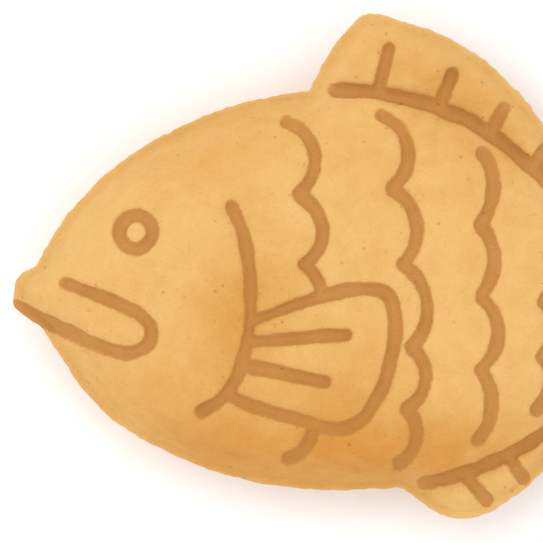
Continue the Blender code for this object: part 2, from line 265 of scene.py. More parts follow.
def soft_distance(points: np.ndarray, loop: np.ndarray) -> np.ndarray:
    """Measure a distance to a closed loop that rounds over the ridges of the true distance.

    Each straight piece adds its integral of one over the distance to the fourth power, and the
    cube root of the sum gives the true distance beside a long straight edge.

    Args:
        points: Places to measure from.
        loop: Points of the loop, its last one joined to its first.

    Returns:
        One distance for each point.
    """
    along = np.roll(loop, -1, axis=0) - loop
    size = np.hypot(along[:, 0], along[:, 1])
    along = along / size[:, None]
    offset = points[:, None, :] - loop[None, :, :]
    near = -np.einsum("ijk,jk->ij", offset, along)
    far = near + size
    side = np.abs(offset[:, :, 0] * along[:, 1] - offset[:, :, 1] * along[:, 0])
    side = np.maximum(side, LEAST_SIDE)

    def pull(reach: np.ndarray) -> np.ndarray:
        """Integrate the fourth-power law from the foot of the point to reach."""
        straight = reach / (2.0 * side**2 * (side**2 + reach**2))
        return straight + np.arctan(reach / side) / (2.0 * side**3)

    total = (pull(far) - pull(near)).sum(axis=1)
    return (0.5 * math.pi / total) ** (1.0 / 3.0)


def is_inside(points: np.ndarray, loop: np.ndarray) -> np.ndarray:
    """Tell which points lie within a closed loop, by counting crossings.

    Args:
        points: Places to test.
        loop: Points of the loop, its last one joined to its first.

    Returns:
        True or false for each point.
    """
    x, y = points[:, 0, None], points[:, 1, None]
    x0, y0 = loop[:, 0], loop[:, 1]
    x1, y1 = np.roll(x0, -1), np.roll(y0, -1)
    rise = np.where(y1 == y0, 1.0, y1 - y0)
    crosses = ((y0 > y) != (y1 > y)) & (x < x0 + (y - y0) * (x1 - x0) / rise)
    return crosses.sum(axis=1) % 2 == 1


@dataclass(frozen=True)
class Body:
    """The body of the fish in plan, without its fins and tail."""

    middle: float = 55.65
    head_length: float = 51.3
    back_depth: float = 35.2
    back_power: float = 1.79
    belly_depth: float = 34.8
    belly_power: float = 1.91
    belly_start: float = 58.3
    back_handles: tuple[Point, Point] = ((92.5, 35.2), (92.7, 8.6))
    belly_handles: tuple[Point, Point] = ((96.8, -34.8), (95.8, -12.6))
    stalk_top: Point = (115.5, 6.7)
    stalk_bottom: Point = (115.5, -16.4)
    stalk_roundness: float = 0.12

    def side(self, flank: Flank) -> np.ndarray:
        """Trace the back or the belly from the snout to the stalk of the tail.

        Args:
            flank: Which of the two.

        Returns:
            Points of the line.
        """
        turns = np.linspace(0.0, 0.5 * math.pi, CONTOUR_POINTS)
        if flank is Flank.BACK:
            depth, power = self.back_depth, self.back_power
            rear = cubic((self.middle, depth), (*self.back_handles, self.stalk_top))
        else:
            depth, power = self.belly_depth, self.belly_power
            rear = cubic((self.belly_start, -depth), (*self.belly_handles, self.stalk_bottom))
        x = self.middle - self.head_length * np.cos(turns) ** (2.0 / power)
        y = flank.value * depth * np.sin(turns) ** (2.0 / power)
        return np.vstack([np.column_stack([x, y])[:-1], rear])

    def loop(self) -> np.ndarray:
        """Close the body's contour with the round front of the tail.

        Returns:
            Points of the closed loop, the first one not repeated.
        """
        end = scallop(self.stalk_top, self.stalk_bottom, self.stalk_roundness)
        back, belly = self.side(Flank.BACK), self.side(Flank.BELLY)
        return np.vstack([back, end[1:-1], belly[::-1][:-1]])


@dataclass(frozen=True)
class Tail:
    """The tail's upper lobe as curves, mirrored about the tail's axis for the lower lobe."""

    axis: float = -4.85
    edge: Cubic = ((120.5, 6.3), (121.5, 15.5), (128.5, 20.5))
    tip: Cubic = ((133.5, 24.2), (143.4, 24.6), (143.9, 15.0))
    rear: Cubic = ((144.1, 7.5), (141.0, 2.5), (138.5, -4.85))
    ray_count: int = 5
    ray_fan: float = 27.0
    ray_origin: float = 101.0
    ray_start: float = 18.0
    ray_end: float = 36.0
    ray_notch: float = 3.0

    def contour(self, root: Point) -> np.ndarray:
        """Trace both lobes from the top of the stalk round to its bottom.

        Args:
            root: The top of the stalk.

        Returns:
            Points of the contour.
        """
        edge = cubic(root, self.edge)
        tip = cubic(self.edge[-1], self.tip)
        rear = cubic(self.tip[-1], self.rear)
        upper = np.vstack([edge, tip[1:], rear[1:]])
        lower = upper[::-1] * (1.0, -1.0) + (0.0, 2.0 * self.axis)
        return np.vstack([upper, lower[1:]])

    def rays(self) -> list[np.ndarray]:
        """Lay out straight rays that fan out over the tail, the middle one shortened.

        Returns:
            The rays, each as its two ends.
        """
        origin = np.array((self.ray_origin, self.axis))
        rays = []
        for number, turn in enumerate(np.linspace(-self.ray_fan, self.ray_fan, self.ray_count)):
            way = heading(turn)
            end = self.ray_end
            if number == self.ray_count // 2:
                end -= self.ray_notch
            rays.append(np.array([origin + self.ray_start * way, origin + end * way]))
        return rays


@dataclass(frozen=True)
class FishOutline:
    """The whole edge of the cake in plan."""

    body: Body = Body()
    tail: Tail = Tail()
    lip_corner: Point = (0.0, -2.2)
    upper_lip: Cubic = ((0.4, 4.2), (1.8, 3.1), (4.35, 4.35))
    lower_lip: Cubic = ((0.2, -3.3), (2.9, -4.9), (5.0, -6.1))
    brow: Cubic = ((5.8, 8.3), (9.3, 13.4), (13.0, 17.35))
    jaw: Cubic = ((12.6, -18.6), (15.4, -20.8), (17.25, -22.2))
    dorsal_root: Point = (52.0, 34.8)
    dorsal_front: Cubic = ((53.4, 38.1), (55.7, 43.0), (60.4, 47.6))
    dorsal_tip: Cubic = ((61.6, 48.7), (64.2, 49.2), (66.6, 47.75))
    dorsal_rear: Cubic = ((78.0, 44.3), (88.6, 41.4), (103.2, 10.9))
    belly_fin_root: Point = (67.1, -34.4)
    belly_fin: Cubic = ((73.3, -34.6), (77.3, -54.8), (105.0, -17.1))
    step: float = 1.0
    flaw_step: float = 0.35
    flaw_sizes: tuple[Span, ...] = ((2.6, 0.14), (1.0, 0.24))

    def contour(self) -> np.ndarray:
        """Trace the clean edge from the mouth's corner over the back and round.

        Returns:
            Points of the closed loop, the first one not repeated.
        """
        body, stalk = self.body, self.body.stalk_top[0]
        back, belly = body.side(Flank.BACK), body.side(Flank.BELLY)
        loop = np.vstack([
            cubic(self.lip_corner, self.upper_lip),
            cubic(self.upper_lip[-1], self.brow)[1:],
            stretch(back, self.brow[-1][0], self.dorsal_root[0])[1:-1],
            cubic(self.dorsal_root, self.dorsal_front),
            cubic(self.dorsal_front[-1], self.dorsal_tip)[1:],
            cubic(self.dorsal_tip[-1], self.dorsal_rear)[1:],
            stretch(back, self.dorsal_rear[-1][0], stalk)[1:-1],
            self.tail.contour(body.stalk_top),
            stretch(belly, self.belly_fin[-1][0], stalk)[::-1][1:-1],
            cubic(self.belly_fin_root, self.belly_fin)[::-1],
            stretch(belly, self.jaw[-1][0], self.belly_fin_root[0])[::-1][1:-1],
            cubic(self.lower_lip[-1], self.jaw)[::-1],
            cubic(self.lip_corner, self.lower_lip)[::-1][1:],
        ])
        return even_steps(loop, self.step)[:-1]

    def baked_edge(self) -> np.ndarray:
        """Trace the edge with the small flaws of batter that ran out between two plates.

        Returns:
            Points of the closed loop, the first one not repeated.
        """
        clean = self.contour()
        loop = even_steps(np.vstack([clean, clean[:1]]), self.flaw_step)[:-1]
        way = np.roll(loop, -1, axis=0) - np.roll(loop, 1, axis=0)
        out = np.column_stack([-way[:, 1], way[:, 0]]) / np.hypot(way[:, 0], way[:, 1])[:, None]
        flaws = np.zeros(len(loop))
        for size, height in self.flaw_sizes:
            flaws += [height * noise.noise(Vector((x / size, y / size, size))) for x, y in loop]
        return loop + out * flaws[:, None]


@dataclass(frozen=True)
class ScaleRow:
    """One row of scales, as scallops between cusps that are listed from the back down."""

    cusps: tuple[Point, ...]
    roundness: tuple[float, ...]

    def path(self) -> np.ndarray:
        """Draw the row's scallops as one line."""
        arcs = [scallop(*ends) for ends in zip(self.cusps, self.cusps[1:], self.roundness)]
        return np.vstack([arcs[0]] + [arc[1:] for arc in arcs[1:]])


@dataclass(frozen=True)
class FinRays:
    """Straight rays that start on a fin's line, each shorter and more slanted than the last."""

    line: Span
    roots: tuple[float, ...]
    length: float
    angle: float
    shrink: float = 0.8
    lean: float = 7.0

    def paths(self, side: np.ndarray) -> list[np.ndarray]:
        """Draw the fin's own line and its rays.

        Args:
            side: The back or the belly that the fin's line follows.

        Returns:
            The line first, then the rays.
        """
        line = stretch(side, *self.line)
        drawn = [line]
        for number, x in enumerate(self.roots):
            root = np.array((x, np.interp(x, line[:, 0], line[:, 1])))
            way = heading(self.angle - number * self.lean)
            reach = self.length * self.shrink**number
            drawn.append(np.array([root, root + reach * way]))
        return drawn


@dataclass(frozen=True)
class MouldedLines:
    """The lines that the iron presses into each face of the cake."""

    eye_centre: Point = (21.6, 10.3)
    eye_radius: float = 2.9
    mouth: tuple[Point, ...] = (
        (9.45, 1.3), (17.15, -1.65), (22.7, -4.5), (24.4, -6.8), (23.7, -9.3), (21.3, -10.75),
        (18.2, -10.6), (11.55, -8.0), (4.5, -4.75), (0.5, -2.75),
    )
    gill: tuple[Point, ...] = (
        (38.3, 14.7), (40.1, 10.6), (41.3, 5.0), (41.7, -2.0), (41.1, -9.0), (39.3, -14.8),
        (37.1, -18.4), (33.1, -21.1),
    )
    breast_fin: tuple[Point, ...] = (
        (41.5, -5.5), (47.8, -3.1), (56.35, -0.3), (62.9, 0.35), (65.9, -0.9), (66.95, -4.2),
        (66.7, -9.0), (65.1, -16.0), (62.65, -20.6), (60.2, -23.2), (56.6, -24.2),
        (50.75, -22.65), (42.35, -20.2), (38.6, -18.5),
    )
    breast_rays: tuple[tuple[Point, Point], ...] = (
        ((41.2, -8.8), (58.2, -7.7)),
        ((40.6, -12.95), (54.55, -15.85)),
    )
    scale_rows: tuple[ScaleRow, ...] = (
        ScaleRow(((48.1, 29.5), (49.9, 16.85), (51.1, 4.6)), (0.30, 0.30)),
        ScaleRow(((51.1, 4.6), (54.1, -0.2)), (0.09,)),
        ScaleRow(((52.7, -23.8), (48.2, -29.4)), (0.16,)),
        ScaleRow(((64.5, 30.6), (66.2, 18.0), (68.2, 4.7), (69.7, -9.9), (68.5, -20.5),
                  (67.6, -30.2)), (0.30, 0.26, 0.24, 0.30, 0.27)),
        ScaleRow(((82.3, 24.1), (81.7, 11.7), (81.8, -0.95), (81.75, -13.55), (81.5, -26.1)),
                 (0.18, 0.20, 0.25, 0.18)),
        ScaleRow(((95.0, 13.7), (94.0, 6.0), (92.9, -2.0), (92.75, -11.5), (91.7, -20.9)),
                 (0.19, 0.18, 0.20, 0.19)),
        ScaleRow(((103.4, 6.8), (102.6, -0.6), (102.4, -8.4), (101.6, -15.0)), (0.18, 0.17, 0.18)),
        ScaleRow(((111.6, 4.6), (111.6, -14.3)), (0.14,)),
    )
    back_rays: FinRays = FinRays((56.4, 100.5), (63.9, 74.7, 83.6, 91.0), 7.9, 76.0)
    belly_rays: FinRays = FinRays((72.1, 99.0), (79.0, 86.7), 6.1, -49.0)
    path_step: float = 0.8
    # A groove in section: half its width, half its flat bottom, its round shoulder, its depth.
    half_width: float = 1.3
    flat: float = 0.45
    shoulder: float = 0.3
    depth: float = 1.1
    # Between these distances from the cake's edge a groove runs out.
    edge_fade: Span = (0.5, 3.4)
    softness: float = 0.5
    soft_rounds: int = 3

    def paths(self, outline: FishOutline) -> list[np.ndarray]:
        """Draw the centre lines of all the grooves on one face.

        Args:
            outline: The cake's outline, whose body and tail the lines follow.

        Returns:
            The lines, each with closely spaced points.
        """
        turns = np.linspace(0.0, 2.0 * math.pi, CURVE_POINTS)
        ring = np.column_stack([np.cos(turns), np.sin(turns)])
        lines = [np.array(self.eye_centre) + self.eye_radius * ring]
        lines += [flowing_line(knots) for knots in (self.mouth, self.gill, self.breast_fin)]
        lines += [np.array(ray) for ray in self.breast_rays]
        lines += [row.path() for row in self.scale_rows]
        lines += self.back_rays.paths(outline.body.side(Flank.BACK))
        lines += self.belly_rays.paths(outline.body.side(Flank.BELLY))
        lines += outline.tail.rays()
        return [even_steps(line, self.path_step) for line in lines]

    def pressure(self, groove: np.ndarray, edge: np.ndarray) -> np.ndarray:
        """Tell how deep the iron presses.

        Args:
            groove: Distances to the nearest line's centre.
            edge: Distances to the cake's edge, where the lines run out.

        Returns:
            The depth at each place, as a share of the full depth.
        """
        pressed = 1.0 - ease(groove, self.flat, self.half_width + self.shoulder)
        return pressed * ease(edge, *self.edge_fade)

    def press(self, cake: bpy.types.Object) -> None:
        """Press the lines into the crust, square to its surface, and soften what the iron folded.

        Args:
            cake: The cake, which is the active object.
        """
        iron = cake.modifiers.new(LINE_GROUP, "DISPLACE")
        iron.vertex_group = LINE_GROUP
        iron.strength = -self.depth * MM
        iron.mid_level = 0.0
        bpy.ops.object.modifier_apply(modifier=iron.name)
        relaxed = cake.modifiers.new("softened lines", "SMOOTH")
        relaxed.vertex_group = LINE_GROUP
        relaxed.factor = self.softness
        relaxed.iterations = self.soft_rounds
        bpy.ops.object.modifier_apply(modifier=relaxed.name)


@dataclass(frozen=True)
class Relief:
    """How high one moulded face rises over the parting plane of the iron.

    Attributes:
        half_thickness: Height of the dome's top.
        shoulder_width: How far in from its start the dome becomes level.
        shoulder_power: Roundness of the dome near its top.
        shoulder_root: Roundness of the dome near its foot.
        contour_shift: How far outside the body's contour the dome starts.
        fin_height: Height of the fins.
        tail_height: Height of the tail.
        fin_end: Where the fins' height starts to turn into the tail's.
        seam_half: Half the thickness of the seam's lip.
        seam_width: Width of that lip.
        wall_slope: Steepness of the wall above the lip.
        blend: How far these forms round into each other.
        taper: Where the dome starts and stops getting lower.
        taper_left: The share of its height that is left there.
        puff: How far the crust sinks towards a line.
        puff_reach: How far from the line it sinks.
    """

    half_thickness: float = 14.0
    shoulder_width: float = 21.0
    shoulder_power: float = 2.3
    shoulder_root: float = 0.62
    contour_shift: float = 1.6
    fin_height: float = 4.8
    tail_height: float = 5.6
    fin_end: float = 100.5
    seam_half: float = 0.45
    seam_width: float = 1.3
    wall_slope: float = 2.5
    blend: float = 1.6
    taper: Span = (82.0, 120.0)
    taper_left: float = 0.55
    puff: float = 0.30
    puff_reach: float = 2.4

    def heights(self, plan: np.ndarray, edge: np.ndarray, body: np.ndarray,
                beside: np.ndarray) -> np.ndarray:
        """Work out the height of one face before the lines are pressed in.

        Args:
            plan: Places in the fish frame.
            edge: Their soft distance to the cake's edge.
            body: Their soft distance to the body's contour, negative outside it.
            beside: Their distance to the nearest pressed line, 0 on a line.

        Returns:
            The height at each place.
        """
        rise = np.clip((body + self.contour_shift) / self.shoulder_width, 0.0, 1.0)
        bulge = 1.0 - (1.0 - rise) ** self.shoulder_power
        dome = self.half_thickness * bulge**self.shoulder_root
        dome *= 1.0 - (1.0 - self.taper_left) * ease(plan[:, 0], *self.taper)
        to_tail = ease(plan[:, 0], self.fin_end, self.taper[1])
        plate = self.fin_height + (self.tail_height - self.fin_height) * to_tail
        wall = self.seam_half + self.wall_slope * np.maximum(edge - self.seam_width, 0.0)
        height = soft_min(soft_max(dome, plate, self.blend), wall, self.blend)
        sink = self.puff * np.exp(-beside / self.puff_reach)
        return np.maximum(height - sink, self.seam_half)


@dataclass(frozen=True)
class ToastAndShadePatch:
    """A patch that darkens or pales the crust: toasting, painted shade and painted light."""

    centre: Point
    reach: Span
    turn: float
    strength: float

    def over(self, plan: np.ndarray) -> np.ndarray:
        """Give the patch's darkening, below 0 where it pales.

        Args:
            plan: Places in the fish frame.

        Returns:
            The darkening at each place.
        """
        turn = math.radians(self.turn)
        offset = plan - np.array(self.centre)
        along = offset[:, 0] * math.cos(turn) + offset[:, 1] * math.sin(turn)
        across = offset[:, 1] * math.cos(turn) - offset[:, 0] * math.sin(turn)
        fade = (along / self.reach[0]) ** 2 + (across / self.reach[1]) ** 2
        return self.strength * np.exp(-fade)


@dataclass(frozen=True)
class BrowningAndShade:
    """How dark the crust is, 0 pale to 1 brown: toasting, painted shade and painted light."""

    least: float = 0.14
    most: float = 1.2
    patches: tuple[ToastAndShadePatch, ...] = (
        # Darker along the lower belly.
        ToastAndShadePatch((62.0, -28.8), (36.0, 7.8), 2.0, 0.80),
        # Painted light: paler on the belly's front, where the crust turns away from the lamp into
        # shade.
        ToastAndShadePatch((29.0, -30.0), (14.0, 4.2), -30.0, -0.30),
        # Paler along the belly's lower rim and over the belly fin.
        ToastAndShadePatch((50.0, -34.5), (18.0, 4.0), 0.0, -0.12),
        ToastAndShadePatch((82.0, -38.0), (10.0, 5.0), 20.0, -0.18),
        ToastAndShadePatch((87.0, -30.0), (12.0, 6.0), 30.0, -0.18),
        # Painted shade: darker along the gill line, behind it above the breast fin, and inside the
        # breast fin's lower edge.
        ToastAndShadePatch((38.5, -8.0), (7.0, 16.0), -6.0, 0.62),
        ToastAndShadePatch((47.5, 1.5), (6.5, 7.0), 0.0, 0.22),
        ToastAndShadePatch((57.5, -17.0), (9.0, 9.0), 0.0, 0.42),
        # Darker on the jaw, the head's top, the back, the dorsal fin's root and the tail.
        ToastAndShadePatch((25.0, -21.0), (17.0, 8.0), -38.0, 0.36),
        ToastAndShadePatch((33.0, 23.5), (16.0, 7.0), 32.0, 0.16),
        ToastAndShadePatch((46.0, 27.0), (18.0, 7.0), 0.0, 0.14),
        ToastAndShadePatch((76.5, 21.0), (16.0, 12.0), 0.0, 0.10),
        ToastAndShadePatch((78.0, 33.0), (16.0, 6.0), -36.0, 0.42),
        ToastAndShadePatch((104.0, -4.0), (10.0, 12.0), 0.0, 0.22),
        ToastAndShadePatch((128.0, 12.0), (10.0, 6.0), 30.0, 0.30),
        ToastAndShadePatch((129.0, -20.0), (12.0, 7.0), -30.0, 0.45),
    )

    def over(self, plan: np.ndarray) -> np.ndarray:
        """Add up the toasting, the painted shade and the painted light.

        Args:
            plan: Places in the fish frame.

        Returns:
            The darkness at each place.
        """
        toast = self.least + sum(patch.over(plan) for patch in self.patches)
        return np.clip(toast, 0.0, self.most)


class TextureKind(Enum):
    """Blender's procedural textures that shape the crust."""

    LUMPS = "CLOUDS"
    BUBBLES = "VORONOI"


@dataclass(frozen=True)
class Unevenness:
    """One layer of small relief that rising and baking leave on the crust."""

    name: str
    kind: TextureKind
    grain: float
    height: float
    level: float = 0.5
    sharpness: float = 1.0

    def shape(self, cake: bpy.types.Object) -> None:
        """Displace the crust by this layer for good.

        Args:
            cake: The cake, which is the active object.
        """
        texture = bpy.data.textures.new(self.name, self.kind.value)
        texture.noise_scale = self.grain * MM
        if self.kind is TextureKind.BUBBLES:
            texture.noise_intensity = self.sharpness
        layer = cake.modifiers.new(self.name, "DISPLACE")
        layer.texture = texture
        layer.texture_coords = "LOCAL"
        layer.vertex_group = CRUST_GROUP
        layer.strength = self.height * MM
        layer.mid_level = self.level
        bpy.ops.object.modifier_apply(modifier=layer.name)


@dataclass(frozen=True)
class Grain:
    """A noise of one size that shows in the crust's colour or tilts its surface.

    Attributes:
        size: Size of its features.
        detail: How many finer layers it has.
        rough: How strong the finer layers are.
        height: How far its tops stand over its bottoms.
    """

    size: float
    detail: float
    rough: float
    height: float = 0.0


@dataclass(frozen=True)
class Pits:
    """Round holes of many sizes that small bubbles leave in the crust.

    Attributes:
        spacing: Distance between the places where a hole may be.
        share: The share of those places that have one.
        widest: Radius of the widest hole, as a share of the spacing.
        bottom_darkening: How far the tint darkens its bottom.
        tint: What the colour of its bottom is multiplied by.
        depth: How deep it looks.
    """

    spacing: float
    share: float
    widest: float
    bottom_darkening: float
    tint: Colour
    depth: float


class NodeSheet:
    """Short calls that lay out the nodes of one material."""

    def __init__(self, name: str) -> None:
        """Start an empty material.

        Args:
            name: The material's name.
        """
        self.material = bpy.data.materials.new(name)
        self.material.use_nodes = True
        self.tree = self.material.node_tree
        self.shader = self.tree.nodes["Principled BSDF"]
        self.place = self.tree.nodes.new("ShaderNodeTexCoord").outputs["Object"]

    def connect(self, value: object, socket: bpy.types.NodeSocket) -> None:
        """Link an output to a socket, or set a constant on it.

        Args:
            value: An output socket, a number or a colour.
            socket: The input that takes it.
        """
        if isinstance(value, bpy.types.NodeSocket):
            self.tree.links.new(value, socket)
        elif isinstance(value, tuple):
            socket.default_value = (*value, 1.0)
        else:
            socket.default_value = value

    def attribute(self, mark: Mark) -> bpy.types.NodeSocket:
        """Read one of the mesh's attributes.

        Args:
            mark: Which attribute.

        Returns:
            Its value.
        """
        node = self.tree.nodes.new("ShaderNodeAttribute")
        node.attribute_name = mark.value
        return node.outputs["Fac"]

    def grain(self, look: Grain) -> bpy.types.NodeSocket:
        """Add a noise whose features have one size.

        Args:
            look: The noise wanted.

        Returns:
            The noise's value, which is about 0.5 on average.
        """
        node = self.tree.nodes.new("ShaderNodeTexNoise")
        node.inputs["Scale"].default_value = 1.0 / (look.size * MM)
        node.inputs["Detail"].default_value = look.detail
        node.inputs["Roughness"].default_value = look.rough
        self.tree.links.new(self.place, node.inputs["Vector"])
        return node.outputs["Fac"]

    def pits(self, look: Pits) -> bpy.types.NodeSocket:
        """Scatter round pits of many sizes.

        Args:
            look: The pits wanted.

        Returns:
            1 in a pit and 0 outside.
        """
        node = self.tree.nodes.new("ShaderNodeTexVoronoi")
        node.inputs["Scale"].default_value = 1.0 / (look.spacing * MM)
        self.tree.links.new(self.place, node.inputs["Vector"])
        chance = self.tree.nodes.new("ShaderNodeSeparateColor")
        self.tree.links.new(node.outputs["Color"], chance.inputs["Color"])
        chosen, radii = (1.0 - look.share, 1.0), (LEAST_PIT, look.widest)
        radius = self.spread(chance.outputs["Red"], chosen, radii, False)
        inwards = self.sum(node.outputs["Distance"], radius, -1.0)
        return self.spread(inwards, (-look.widest, 0.0), (1.0, 0.0))

    def swing(self, value: bpy.types.NodeSocket) -> bpy.types.NodeSocket:
        """Spread a noise about 0, most of it between -0.5 and 0.5."""
        return self.spread(value, NOISE_REACH, (-0.5, 0.5), False)

    def spread(self, value: object, taken: Span, given: Span = (0.0, 1.0),
               smooth: bool = True) -> bpy.types.NodeSocket:
        """Map a range of values to another.

        Args:
            value: The value to map.
            taken: First and last value of the range.
            given: What they become.
            smooth: Whether the ends are eased.

        Returns:
            The mapped value.
        """
        node = self.tree.nodes.new("ShaderNodeMapRange")
        node.interpolation_type = "SMOOTHSTEP" if smooth else "LINEAR"
        self.connect(value, node.inputs["Value"])
        for name, number in zip(("From Min", "From Max", "To Min", "To Max"), (*taken, *given)):
            node.inputs[name].default_value = number
        return node.outputs["Result"]

    def sum(self, first: object, second: object, share: float) -> bpy.types.NodeSocket:
        """Add a share of the second value to the first.

        Args:
            first: The value taken whole.
            second: The value taken in part.
            share: How much of the second value is added.

        Returns:
            The sum.
        """
        node = self.tree.nodes.new("ShaderNodeMath")
        node.operation = "MULTIPLY_ADD"
        self.connect(second, node.inputs[0])
        node.inputs[1].default_value = share
        self.connect(first, node.inputs[2])
        return node.outputs[0]

    def ramp(self, value: object, stops: tuple[tuple[float, Colour], ...]) -> bpy.types.NodeSocket:
        """Colour a value.

        Args:
            value: The value to colour.
            stops: Values with their colours, in order.

        Returns:
            The colour.
        """
        node = self.tree.nodes.new("ShaderNodeValToRGB")
        bars = node.color_ramp.elements
        for number, (place, colour) in enumerate(stops):
            bar = bars[number] if number < len(bars) else bars.new(place)
            bar.position = place
            bar.color = (*colour, 1.0)
        self.connect(value, node.inputs["Fac"])
        return node.outputs["Color"]

    def mix(self, factor: object, first: object, second: object,
            blend: str = "MIX") -> bpy.types.NodeSocket:
        """Lay the second colour over the first.

        Args:
            factor: How much of the second colour shows.
            first: The colour below.
            second: The colour on top.
            blend: Blender's name for the way of blending.

        Returns:
            The mixed colour.
        """
        node = self.tree.nodes.new("ShaderNodeMix")
        node.data_type = "RGBA"
        node.blend_type = blend
        inputs = [s for s in node.inputs if s.enabled]
        for value, socket in zip((factor, first, second), inputs):
            self.connect(value, socket)
        return next(s for s in node.outputs if s.enabled)

    def bump(self, height: object, distance: float, below: object = None) -> bpy.types.NodeSocket:
        """Tilt the surface by a height.

        Args:
            height: The height, 0 to 1.
            distance: What a height of 1 stands for.
            below: The normal that this one builds on.

        Returns:
            The new normal.
        """
        node = self.tree.nodes.new("ShaderNodeBump")
        node.inputs["Distance"].default_value = distance * MM
        self.connect(height, node.inputs["Height"])
        if below is not None:
            self.connect(below, node.inputs["Normal"])
        return node.outputs["Normal"]


@dataclass(frozen=True)
class BakedCrust:
    """Dull golden crust with toasting, painted shade and painted light, and darker pressed lines.

    Attributes:
        pale: Colour of the least toasted crust, also where painted light pales it.
        golden: Colour halfway, from toasting and painted shade together.
        brown: Colour of fully toasted crust and of deep painted shade.
        line_light: Colour in a line across pale crust.
        line_dark: Colour in a line across brown crust.
        line_half: Half the width of a line's dark colour.
        line_soft: Half the width of the change at its edge.
        line_wander: How far the peel moves that edge about.
        clouds: Broad patches of toasting.
        cloud_share: How much it adds to the toasting.
        mottle: Small blotches.
        mottle_share: How much they add to the toasting.
        peel: The skin's fine unevenness.
        crumb: The finest grain, which carries the freckles.
        freckle_reach: Values of the crumb from a freckle's edge to its middle.
        freckle_share: How much of the tint a freckle's middle takes.
        freckle_tint: What a freckle's colour is multiplied by.
        pores: The wider bubble holes.
        pinholes: The fine bubble holes.
        mottle_reach: Values of the mottle that get the least and the most roughness.
        roughness: The least and the most roughness.
        gloss: The shader's specular level.
    """

    pale: Colour = (0.690, 0.418, 0.145)
    golden: Colour = (0.620, 0.330, 0.092)
    brown: Colour = (0.556, 0.241, 0.047)
    line_light: Colour = (0.510, 0.242, 0.066)
    line_dark: Colour = (0.470, 0.205, 0.046)
    line_half: float = 1.33
    line_soft: float = 0.16
    line_wander: float = 0.20
    clouds: Grain = Grain(14.0, 3.0, 0.55)
    cloud_share: float = 0.24
    mottle: Grain = Grain(3.2, 4.0, 0.6, 0.22)
    mottle_share: float = 0.22
    peel: Grain = Grain(1.1, 2.0, 0.5, 0.17)
    crumb: Grain = Grain(0.4, 3.0, 0.7, 0.12)
    freckle_reach: Span = (0.54, 0.72)
    freckle_share: float = 0.5
    freckle_tint: Colour = (0.86, 0.74, 0.58)
    pores: Pits = Pits(1.3, 0.34, 0.34, 0.48, (0.62, 0.45, 0.30), 0.18)
    pinholes: Pits = Pits(0.62, 0.40, 0.36, 0.32, (0.70, 0.52, 0.36), 0.08)
    mottle_reach: Span = (0.25, 0.75)
    roughness: Span = (0.58, 0.78)
    gloss: float = 0.08

    def make(self) -> bpy.types.Material:
        """Build the crust's material.

        Returns:
            The material, ready to go on the cake.
        """
        sheet = NodeSheet(CRUST_SLOT)
        clouds, mottle = sheet.grain(self.clouds), sheet.grain(self.mottle)
        peel, crumb = sheet.grain(self.peel), sheet.grain(self.crumb)

        # This value holds toasting, painted shade and painted light from the patches; the clouds
        # and the mottle add random toasting.
        toast = sheet.attribute(Mark.TOAST)
        toast = sheet.sum(toast, sheet.swing(clouds), self.cloud_share)
        toast = sheet.sum(toast, sheet.swing(mottle), self.mottle_share)
        skin = sheet.ramp(toast, ((0.0, self.pale), (0.5, self.golden), (1.0, self.brown)))

        groove = sheet.sum(sheet.attribute(Mark.GROOVE), sheet.swing(peel), self.line_wander)
        inner, outer = self.line_half - self.line_soft, self.line_half + self.line_soft
        in_line = sheet.spread(groove, (inner, outer), (1.0, 0.0))
        line = sheet.ramp(toast, ((0.0, self.line_light), (1.0, self.line_dark)))
        colour = sheet.mix(in_line, skin, line)

        freckles = sheet.spread(crumb, self.freckle_reach, (0.0, self.freckle_share))
        colour = sheet.mix(freckles, colour, self.freckle_tint, "MULTIPLY")
        holes = [(look, sheet.pits(look)) for look in (self.pores, self.pinholes)]
        for look, hole in holes:
            colour = sheet.mix(sheet.sum(0.0, hole, look.bottom_darkening), colour, look.tint, "MULTIPLY")
        sheet.connect(colour, sheet.shader.inputs["Base Color"])

        dull = sheet.spread(mottle, self.mottle_reach, self.roughness, False)
        sheet.connect(dull, sheet.shader.inputs["Roughness"])
        sheet.shader.inputs["Specular IOR Level"].default_value = self.gloss

        normal = None
        for look, grain in ((self.mottle, mottle), (self.peel, peel), (self.crumb, crumb)):
            normal = sheet.bump(grain, look.height, normal)
        for look, hole in holes:
            normal = sheet.bump(sheet.sum(1.0, hole, -1.0), look.depth, normal)
        sheet.connect(normal, sheet.shader.inputs["Normal"])
        return sheet.material


